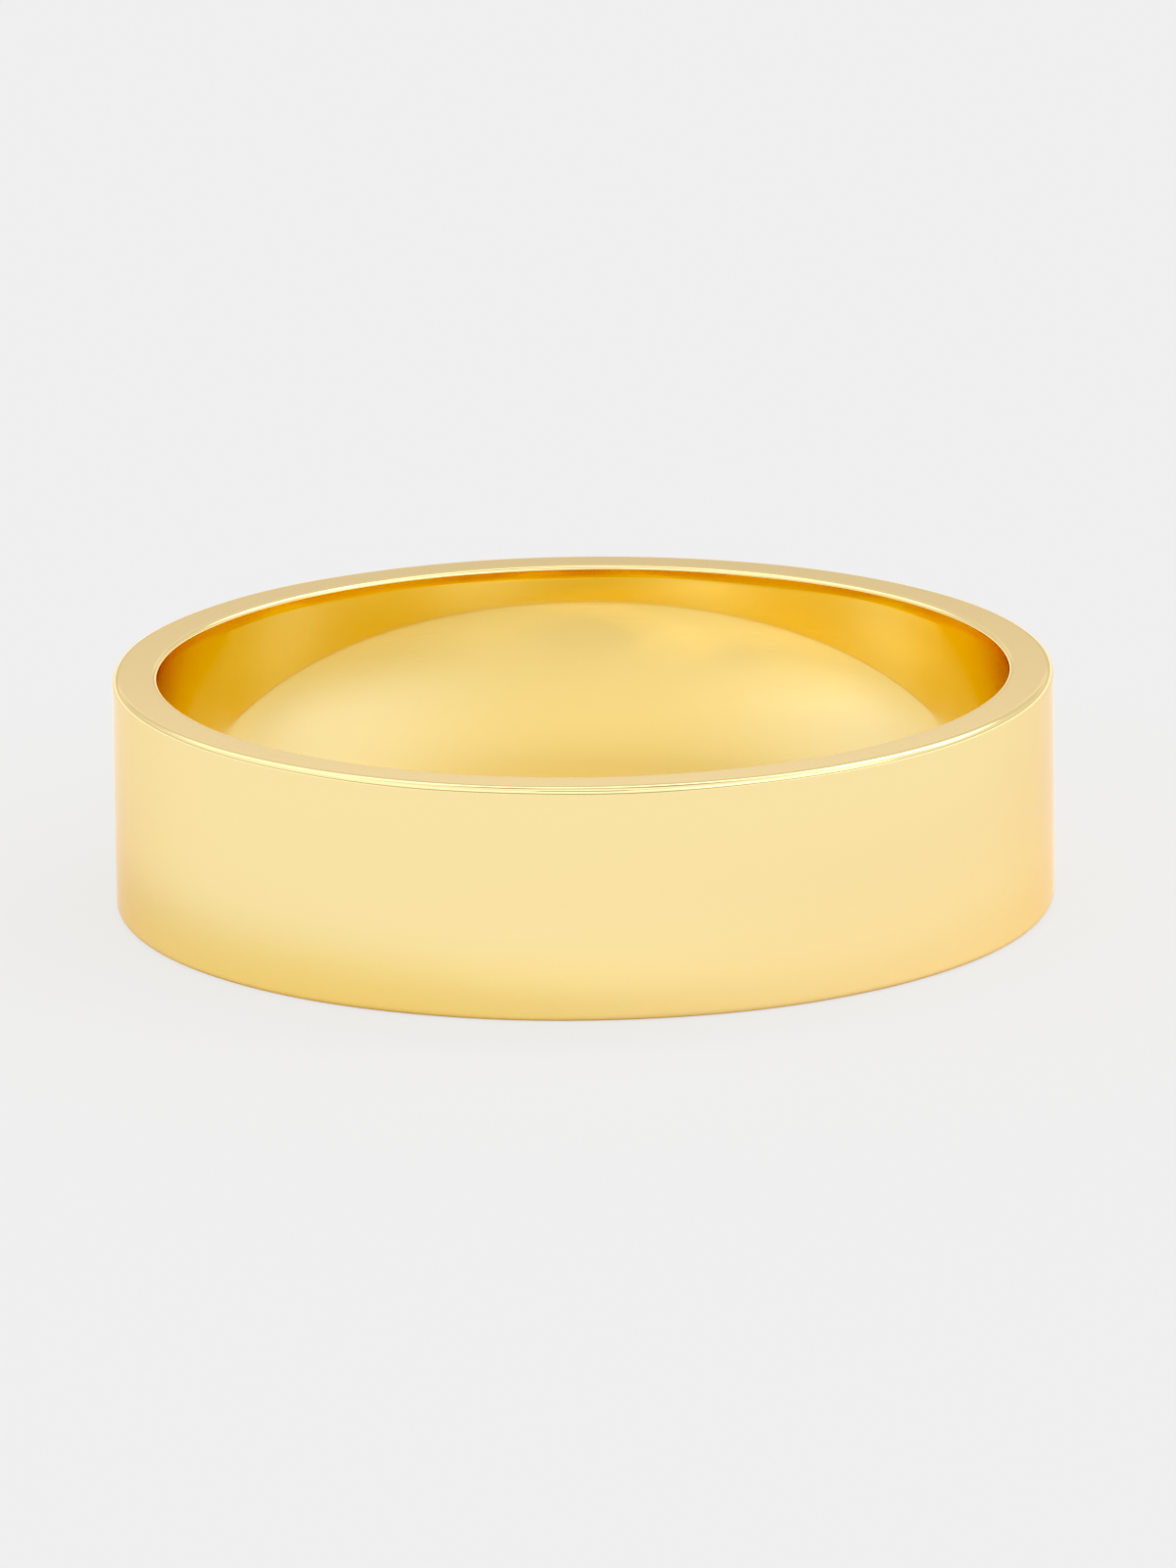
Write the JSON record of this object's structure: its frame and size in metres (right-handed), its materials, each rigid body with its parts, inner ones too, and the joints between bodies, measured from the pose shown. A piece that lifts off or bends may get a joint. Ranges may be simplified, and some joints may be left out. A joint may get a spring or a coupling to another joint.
{
  "type": "wedding band",
  "caption": "Flat-profile polished yellow gold finger ring with softly rounded edges, bent from flat strip and closed by a soldered seam.",
  "frame": {"origin": "centre of the finger hole, in the plane of the end face that the ring rests on", "axes": "+Z along the axis of the finger hole, up from the resting face; -X points at the soldered seam"},
  "size_m": [0.02, 0.02, 0.005],
  "materials": {
    "gold": "polished",
    "solder": "polished"
  },
  "bodies": {
    "root": {"band": "gold", "solder_seam": "solder"}
  },
  "joints": []
}
